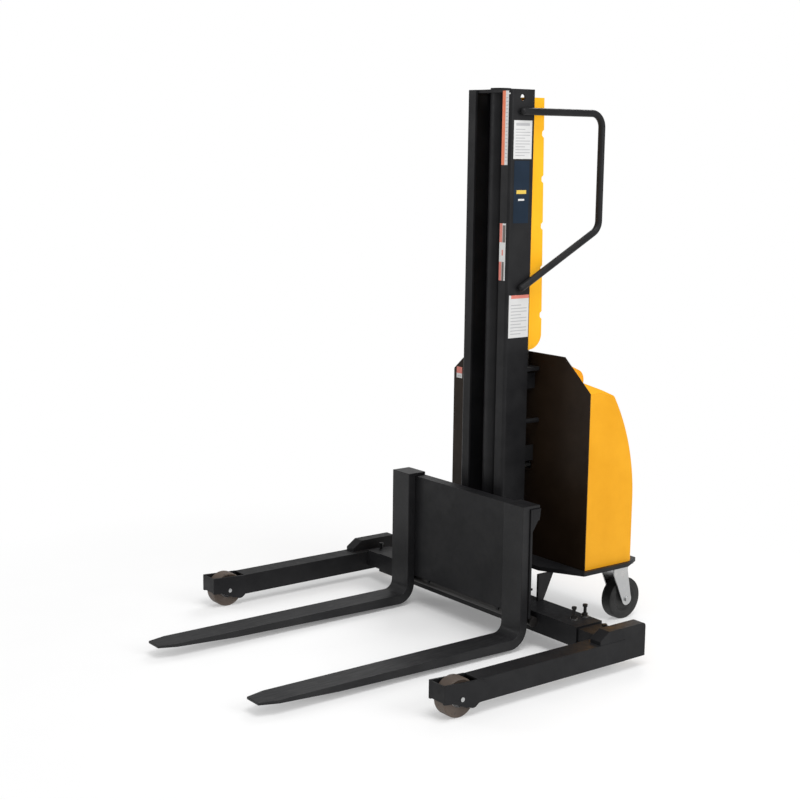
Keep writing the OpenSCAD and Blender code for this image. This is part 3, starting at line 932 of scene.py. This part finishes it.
@dataclass
class Lift(Assembly):
    """Lift ram, crosshead, sheaves and chains."""

    title: str = "lift"
    chain_x: float = 54.0
    rear_y: float = 169.9
    front_y: float = 110.1
    kept: float = 0.035

    def build(self) -> None:
        """Builds the ram and both chains."""
        self.skin("cylinder_barrel", BLACK, 1.0)
        self.skin("piston_rod", CHROME, 0.5)
        self.skin("crosshead", UNIT, 1.5)
        self.skin("ram_bracket", BLACK, 1.0)
        self.skin("chain_sheaves", STEEL, 0.4)
        self.skin("chain_wraps", CHAIN, 0.5)
        foot, top = (corner[2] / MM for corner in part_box("chains_front"))
        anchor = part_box("chains_rear")[0][2] / MM
        for side, x in (("left", -self.chain_x), ("right", self.chain_x)):
            front = chain_run(f"chain_front_{side}", x, self.front_y, foot, top)
            self.place(front, Slot.CHAIN, "carriage", "chains_front")
            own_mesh(front)
            rear = chain_run(f"chain_rear_{side}", x, self.rear_y, anchor, top)
            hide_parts("chains_rear")
            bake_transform(rear)
            self.made.append(rear)


@dataclass
class Casters(Assembly):
    """Rear swivel casters."""

    title: str = "casters"

    def build(self) -> None:
        """Builds both casters."""
        self.skin("caster_plates", ZINC, 0.8)
        for side in ("left", "right"):
            self.skin(f"caster_fork_{side}", ZINC, 0.8)
            self.wheel(side)

    def wheel(self, side: str) -> None:
        """Builds one caster wheel with a dished hub.

        Args:
            side: Left or right.
        """
        node = f"caster_wheel_{side}"
        low, high = (Vector(p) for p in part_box(node))
        centre = (low + high) / 2
        r = (high.z - low.z) / 2 / MM
        half = (high.x - low.x) / 2 / MM
        rings = [(8.4, -half, STEEL), (15.5, -half, STEEL), (16, -half + 8, PLASTIC), (24, -half + 12, PLASTIC),
                 (44, -half + 14, PLASTIC), (52, -half + 6, PLASTIC)]
        rings += [(radius, offset, TYRE) for radius, offset in (
            (55, -half + 4.5), (r - 7, -half + 3.4), (r - 2, -half + 6), (r, -half + 12), (r, half - 12),
            (r - 2, half - 6), (r - 7, half - 3.4))]
        rings += [(55, half - 4.5, PLASTIC), (52, half - 6, PLASTIC), (44, half - 14, PLASTIC),
                  (24, half - 12, PLASTIC), (16, half - 8, STEEL), (15.5, half, STEEL), (8.4, half, STEEL)]
        obj = lathe(f"caster_wheel_{side}_tyre", rings, centre)
        polish(obj, 0.0, 1)
        self.place(obj, Slot.CASTER_TREAD, body_of(node), node)


@dataclass
class Guard(Assembly):
    """Chain guard and the bent push handle."""

    title: str = "guard"
    tube: float = 13.4
    bend: float = 52.0
    knee: float = 1497.0
    head: float = 50.0
    foot: tuple[float, float] = (60.0, 1289.0)

    def build(self) -> None:
        """Builds the guard and the handle."""
        # The guard takes the lighter copy of the cover yellow, which is painted light.
        self.skin("mast_guard", YELLOW_PAINTED_LIGHT, 2.2, 3)
        self.handle()

    def handle(self) -> None:
        """Bends the handle as one tube along a line with rounded corners."""
        low, high = (Vector(p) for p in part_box("push_handle"))
        x = (low.x + high.x) / 2
        rear = high.y - self.tube * MM
        top = high.z - self.tube * MM
        points = [Vector((x, MAST_Y + self.head * MM, top)), Vector((x, rear, top)),
                  Vector((x, rear, self.knee * MM)), at(x / MM, *self.foot)]
        rule = Rule("push_handle_tube")
        tube = rule.size("Tube Radius", self.tube * MM)
        bend = rule.size("Bend Radius", self.bend * MM)
        path = rule.add("MeshToCurve", {"Mesh": rule.geometry})
        path = rule.add("FilletCurve", {"Curve": path, "Radius": bend, "Count": 14, "Limit Radius": True},
                        mode="POLY")
        ring = rule.add("CurvePrimitiveCircle", {"Resolution": 40, "Radius": tube})
        body = rule.add("CurveToMesh", {"Curve": path, "Profile Curve": ring, "Fill Caps": True})
        cap = rule.add("MeshUVSphere", {"Segments": 40, "Rings": 16, "Radius": 0.99 * self.tube * MM})
        caps = [rule.add("Transform", {"Geometry": cap, "Translation": tuple(p)})
                for p in (points[0], points[-1])]
        obj = rule.build(rule.add("JoinGeometry", {"Geometry": [body] + caps}), BLACK, points, chained=True)
        polish(obj, 0.0, 1)
        self.place(obj, Slot.FRAME, body_of("push_handle"), "push_handle")


@dataclass
class Hardware(Assembly):
    """Bolts and screws that hold the guard, casters and mast label."""

    title: str = "hardware"
    guard_heights: tuple[float, ...] = (1150, 1450, 1750, 1930)
    caster_centre: tuple[float, float] = (312, 415)
    caster_pattern: tuple[float, float] = (40, 30)
    deck: float = 250

    def build(self) -> None:
        """Builds the three sets of heads."""
        sides = (-1, 1)
        guard = [at(s * 108, 117, z) for s in sides for z in self.guard_heights]
        across, along = self.caster_centre
        wide, deep = self.caster_pattern
        caster = [at(s * (across + a), along + b, self.deck)
                  for s in sides for a in (-wide, wide) for b in (-deep, deep)]
        mast = [at(115, 0, 1990)]
        sets = (("guard_screws", guard, (-math.pi / 2, 0.0, 0.0), 5.8, 3.9, 20),
                ("caster_bolts", caster, (0.0, 0.0, 0.0), 7.8, 4.9, 6),
                ("mast_screw", mast, (math.pi / 2, 0.0, 0.0), 3.2, 2.0, 20))
        for title, points, turn, radius, height, count in sets:
            obj = heads(title, points, turn, radius, height, count, ZINC)
            self.place(obj, Slot.ZINC, "chassis", "fasteners")


class Face(Enum):
    """Way a label faces."""

    SIDE = "side"
    FRONT = "front"


@dataclass(frozen=True)
class Patch:
    """A printed area of a label, as fractions of its width and height."""

    finish: Finish
    left: float
    right: float
    low: float
    high: float


@dataclass
class Labels(Assembly):
    """Printed labels with plain blocks and bars in place of any writing."""

    title: str = "labels"
    thick: float = 0.45

    def build(self) -> None:
        """Builds the six labels."""
        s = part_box("mast_upright_right")[1][0] / MM
        lines = [Patch(INK, 0.1, 0.9 if k % 3 else 0.62, v, v + 0.022) for k, v in
                 enumerate(0.08 + 0.075 * i for i in range(10))]
        data = [Patch(INK, 0.12, 0.88, 0.86, 0.93)] + lines
        warning = [Patch(INK_RED, 0.1, 1.0, 0.92, 1.0)] + lines
        badge = [Patch(INK_GOLD, 0.18, 0.82, 0.47, 0.53), Patch(FILM, 0.3, 0.7, 0.36, 0.39)]
        strip = [Patch(INK_ORANGE, 0.0, 0.5, 0.0, 1.0)] + [Patch(INK, 0.58, 0.92, v, v + 0.012) for v in
                                                          (0.05 + 0.05 * i for i in range(18))]
        stack = [Patch(INK_RED, 0.0, 0.45, 0.67, 1.0), Patch(INK_GREY, 0.5, 0.95, 0.67, 0.97),
                 Patch(INK_RED, 0.4, 0.62, 0.44, 0.54), Patch(INK_RED, 0.0, 0.4, 0.0, 0.33),
                 Patch(INK_GREY, 0.45, 0.8, 0.0, 0.33)]
        sticker = [Patch(INK_RED, 0.0, 1.0, 0.42, 1.0), Patch(INK, 0.15, 0.85, 0.14, 0.2)]
        plan = (("label_data", Face.SIDE, s, (16, 104), (1758, 1896), FILM, data),
                ("label_badge", Face.SIDE, s, (22, 96), (1526, 1752), INK_BLUE, badge),
                ("label_notice", Face.SIDE, s, (12, 110), (1104, 1262), FILM, warning),
                ("label_strip", Face.FRONT, 0.0, (s - 46, s - 13), (1736, 2000), FILM, strip),
                ("label_stack", Face.FRONT, 0.0, (s - 46, s - 13), (1316, 1525), FILM, stack),
                ("label_plate", Face.FRONT, 181.0, (-372, -338), (880, 925), FILM, sticker))
        for name, face, level, across, tall, film, patches in plan:
            self.label(name, face, level, across, tall, film, patches)

    def label(self, name: str, face: Face, level: float, across: tuple[float, float],
              tall: tuple[float, float], film: Finish, patches: list[Patch]) -> None:
        """Builds one label.

        Args:
            name: Piece name.
            face: Way it faces.
            level: Height of the surface it lies on, along its facing direction.
            across: Its two ends across, in millimetres.
            tall: Its lower and upper ends, in millimetres.
            film: Finish of the film.
            patches: Printed areas on it.
        """
        finishes = list(dict.fromkeys([film] + [p.finish for p in patches]))
        shape = bmesh.new()
        width, height = across[1] - across[0], tall[1] - tall[0]

        def slab(a0: float, a1: float, z0: float, z1: float, low: float, high: float, index: int) -> None:
            """Adds a thin box between two levels.

            Args:
                a0: Lower end across.
                a1: Upper end across.
                z0: Lower height.
                z1: Upper height.
                low: Inner level.
                high: Outer level.
                index: Material index.
            """
            corners = []
            for depth in (low, high):
                for a, z in ((a0, z0), (a1, z0), (a1, z1), (a0, z1)):
                    spot = at(level + depth, a, z) if face is Face.SIDE else at(a, level - depth, z)
                    corners.append(shape.verts.new(spot))
            quads = ((0, 1, 2, 3), (4, 5, 6, 7), (0, 1, 5, 4), (1, 2, 6, 5), (2, 3, 7, 6), (3, 0, 4, 7))
            for quad in quads:
                shape.faces.new([corners[i] for i in quad]).material_index = index

        slab(*across, *tall, 0.0, self.thick, 0)
        for patch in patches:
            slab(across[0] + patch.left * width, across[0] + patch.right * width,
                 tall[0] + patch.low * height, tall[0] + patch.high * height,
                 self.thick - 0.05, self.thick + 0.08, finishes.index(patch.finish))
        bmesh.ops.recalc_face_normals(shape, faces=shape.faces)
        obj = link(name, shape)
        for finish in finishes:
            obj.data.materials.append(finish.material())
        self.place(obj, Slot.LABEL, "chassis", "decals")


@dataclass
class Studio:
    """Floor, light and camera.

    Attributes:
        spot: Camera position in millimetres, with depth from the mast's front face.
        azimuth: Bearing of the camera round the stacker in degrees.
        pitch: How far it looks down in degrees.
        roll: Its roll in degrees.
        lens: Focal length on a 36 mm sensor.
    """

    spot: Point = (4161.7, -3595.0, 1799.7)
    azimuth: float = 52.427
    pitch: float = 9.780
    roll: float = 0.696
    lens: float = 66.34

    def build(self) -> None:
        """Builds the stage."""
        self.floor()
        self.world()
        self.light("key", (2.2, -0.6, 5.8), 3.4, 190.0)
        self.light("fill", (5.2, 1.6, 3.0), 3.0, 110.0)
        self.light("left", (-3.2, -3.6, 2.4), 1.4, 26.0)
        self.light("rear", (-3.0, 4.0, 4.6), 3.0, 110.0)
        self.camera()

    def floor(self) -> None:
        """Lays a pale floor."""
        shape = bmesh.new()
        bmesh.ops.create_circle(shape, cap_ends=True, segments=96, radius=40.0)
        obj = link("floor", shape)
        shader = Shader("floor_paint")
        paint = shader.ramp(shader.noise(4.0), (0.93, 0.93, 0.93), (0.95, 0.95, 0.95), 0.3, 0.7)
        shader.drive("Base Color", paint)
        shader.hold("Roughness", 0.85)
        shader.hold("Specular IOR Level", 0.05)
        shader.fade_to_white(0.0, 2.2)
        obj.data.materials.append(shader.material)

    def world(self) -> None:
        """Lights the scene evenly from above and shows white behind it."""
        world = bpy.data.worlds.new("studio")
        world.use_nodes = True
        bpy.context.scene.world = world
        tree = world.node_tree
        back = tree.nodes["Background"]
        seen = tree.nodes.new("ShaderNodeBackground")
        seen.inputs["Color"].default_value = (1, 1, 1, 1)
        seen.inputs["Strength"].default_value = 1.0
        back.inputs["Color"].default_value = (1, 1, 1, 1)
        back.inputs["Strength"].default_value = 0.40
        path = tree.nodes.new("ShaderNodeLightPath")
        mix = tree.nodes.new("ShaderNodeMixShader")
        tree.links.new(path.outputs["Is Camera Ray"], mix.inputs[0])
        tree.links.new(back.outputs[0], mix.inputs[1])
        tree.links.new(seen.outputs[0], mix.inputs[2])
        tree.links.new(mix.outputs[0], tree.nodes["World Output"].inputs["Surface"])
        bpy.context.scene.view_settings.view_transform = "Standard"

    def light(self, name: str, spot: Point, size: float, power: float) -> None:
        """Adds a soft square light aimed at the middle of the stacker.

        Args:
            name: Light name.
            spot: Its place in metres.
            size: Its side in metres.
            power: Its power in watts.
        """
        data = bpy.data.lights.new(name, "AREA")
        data.size, data.energy = size, power
        obj = bpy.data.objects.new(name, data)
        obj.location = spot
        obj.rotation_euler = (Vector((0, 0, 0.9)) - Vector(spot)).to_track_quat("-Z", "Y").to_euler()
        bpy.context.scene.collection.objects.link(obj)

    def camera(self) -> None:
        """Sets the camera to the catalogue view."""
        a, e, r = (math.radians(v) for v in (self.azimuth, self.pitch, self.roll))
        back = Vector((math.sin(a) * math.cos(e), -math.cos(a) * math.cos(e), math.sin(e)))
        right = Vector((math.cos(a), math.sin(a), 0))
        up = back.cross(right)
        turned = (math.cos(r) * right + math.sin(r) * up, math.cos(r) * up - math.sin(r) * right, back)
        data = bpy.data.cameras.new("camera")
        data.sensor_width, data.lens = 36.0, self.lens
        data.dof.use_dof = False
        obj = bpy.data.objects.new("camera", data)
        matrix = obj.matrix_world.copy()
        for column, axis in enumerate(turned):
            for row in range(3):
                matrix[row][column] = axis[row]
        for row in range(3):
            matrix[row][3] = at(*self.spot)[row]
        obj.matrix_world = matrix
        bpy.context.scene.collection.objects.link(obj)
        bpy.context.scene.camera = obj


def main() -> None:
    """Builds every assembly, then the stage, and notes the sizes."""
    logging.basicConfig(level=logging.INFO, format="%(message)s")
    total = 0
    for group in (Mast(), Legs(), Carriage(), PowerUnit(), Controls(), Lift(), Casters(), Guard(), Hardware(),
                  Labels()):
        group.build()
        total += len(group.made)
    Studio().build()
    LOG.info("%d pieces", total)


if __name__ == "__main__":
    main()
